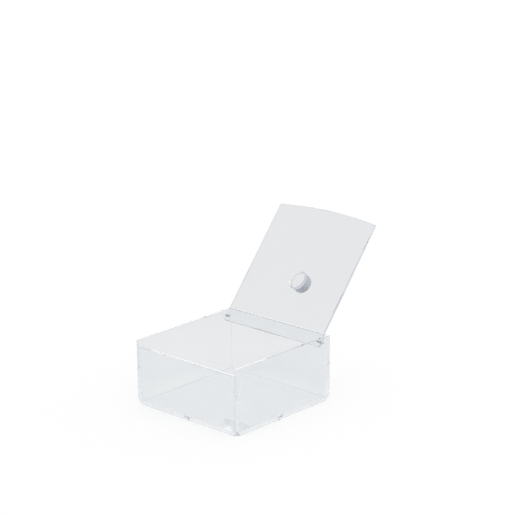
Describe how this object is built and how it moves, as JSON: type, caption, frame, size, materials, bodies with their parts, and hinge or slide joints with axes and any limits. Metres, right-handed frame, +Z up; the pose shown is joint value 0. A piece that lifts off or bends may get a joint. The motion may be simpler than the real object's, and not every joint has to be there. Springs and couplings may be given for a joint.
{
  "type": "candy bin with hinged lid",
  "caption": "Low square open-topped bin of clear sheet with a flat hinged lid that has a curved front edge and a round knob, shown leaning open on the rear rim.",
  "frame": {"origin": "centre of the bin's underside, on the surface that it stands on", "axes": "+Z up, -Y towards the low front wall, +X to the right as seen from the front; the lid's hinge axis runs along X near the back"},
  "size_m": [0.12, 0.1898, 0.1489],
  "materials": {
    "clear_acrylic": "clear, with polished faces and polished edges"
  },
  "bodies": {
    "box": {"floor_panel": "clear_acrylic", "front_wall": "clear_acrylic", "back_wall": "clear_acrylic", "left_wall": "clear_acrylic", "right_wall": "clear_acrylic"},
    "lid": {"lid_panel": "clear_acrylic", "lid_knob": "clear_acrylic", "left_hinge_pin": "clear_acrylic", "right_hinge_pin": "clear_acrylic"}
  },
  "joints": [
    {"name": "lid_hinge", "type": "hinge", "parent": "box", "child": "lid", "pos_m": [0, 0.051, 0.055], "axis": [1, 0, 0], "range_deg": [0, 129.9]}
  ]
}
